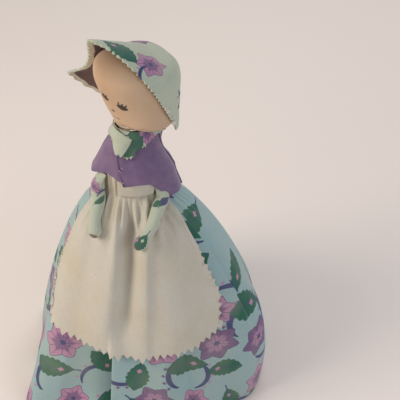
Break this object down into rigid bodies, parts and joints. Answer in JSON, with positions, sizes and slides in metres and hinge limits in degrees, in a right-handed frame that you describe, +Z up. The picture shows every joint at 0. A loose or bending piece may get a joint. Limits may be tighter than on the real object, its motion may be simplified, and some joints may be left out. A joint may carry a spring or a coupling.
{
  "type": "cloth doll",
  "caption": "Standing cloth doll with stuffed body, printed full skirt, pleated apron, felt cape, kerchief and hood bonnet; the head turns and nods and the arms lift.",
  "frame": {"origin": "middle of the hem, on the surface the doll stands on", "axes": "+Z up; -Y is the front of the apron; +X is the doll's left side"},
  "size_m": [0.1072, 0.1068, 0.1614],
  "materials": {
    "card": "matt greyboard",
    "cream_muslin": "plain weave, unbleached",
    "face_muslin": "plain weave, tea-toned, inked features",
    "print_cotton": "plain weave, printed leaves and flowers",
    "purple_felt": "pressed wool felt",
    "wadding": "loose cotton wadding",
    "thread": "sewing thread"
  },
  "bodies": {
    "torso": {"base_disc": "card", "body_cloth": "cream_muslin", "body_stuffing": "wadding", "skirt": "print_cotton", "skirt_thread": "thread", "apron_panel": "cream_muslin", "apron_band": "cream_muslin", "cape_front_left": "purple_felt", "cape_front_right": "purple_felt", "cape_back": "purple_felt", "neckerchief": "print_cotton", "kerchief_end": "print_cotton"},
    "neck": {"neck_roll": "cream_muslin"},
    "head": {"face_cloth": "face_muslin", "head_stuffing": "wadding", "neck_thread": "thread", "bonnet": "print_cotton"},
    "left_arm": {"left_sleeve": "print_cotton", "left_arm_roll": "wadding"},
    "right_arm": {"right_sleeve": "print_cotton", "right_arm_roll": "wadding"}
  },
  "joints": [
    {"name": "head_turn", "type": "hinge", "parent": "torso", "child": "neck", "pos_m": [-0.006, -0.002, 0.1255], "axis": [0, 0, 1], "range_deg": [-20, 100]},
    {"name": "head_nod", "type": "hinge", "parent": "neck", "child": "head", "pos_m": [-0.006, -0.002, 0.1295], "axis": [0.7659, -0.6429, 0], "range_deg": [-12, 12]},
    {"name": "left_arm_lift", "type": "hinge", "parent": "torso", "child": "left_arm", "pos_m": [0.00582, -0.01123, 0.1015], "axis": [-0.9136, 0.4067, 0], "range_deg": [0, 40]},
    {"name": "right_arm_lift", "type": "hinge", "parent": "torso", "child": "right_arm", "pos_m": [-0.01782, -0.01123, 0.1055], "axis": [-1, 0, 0], "range_deg": [0, 40]}
  ]
}
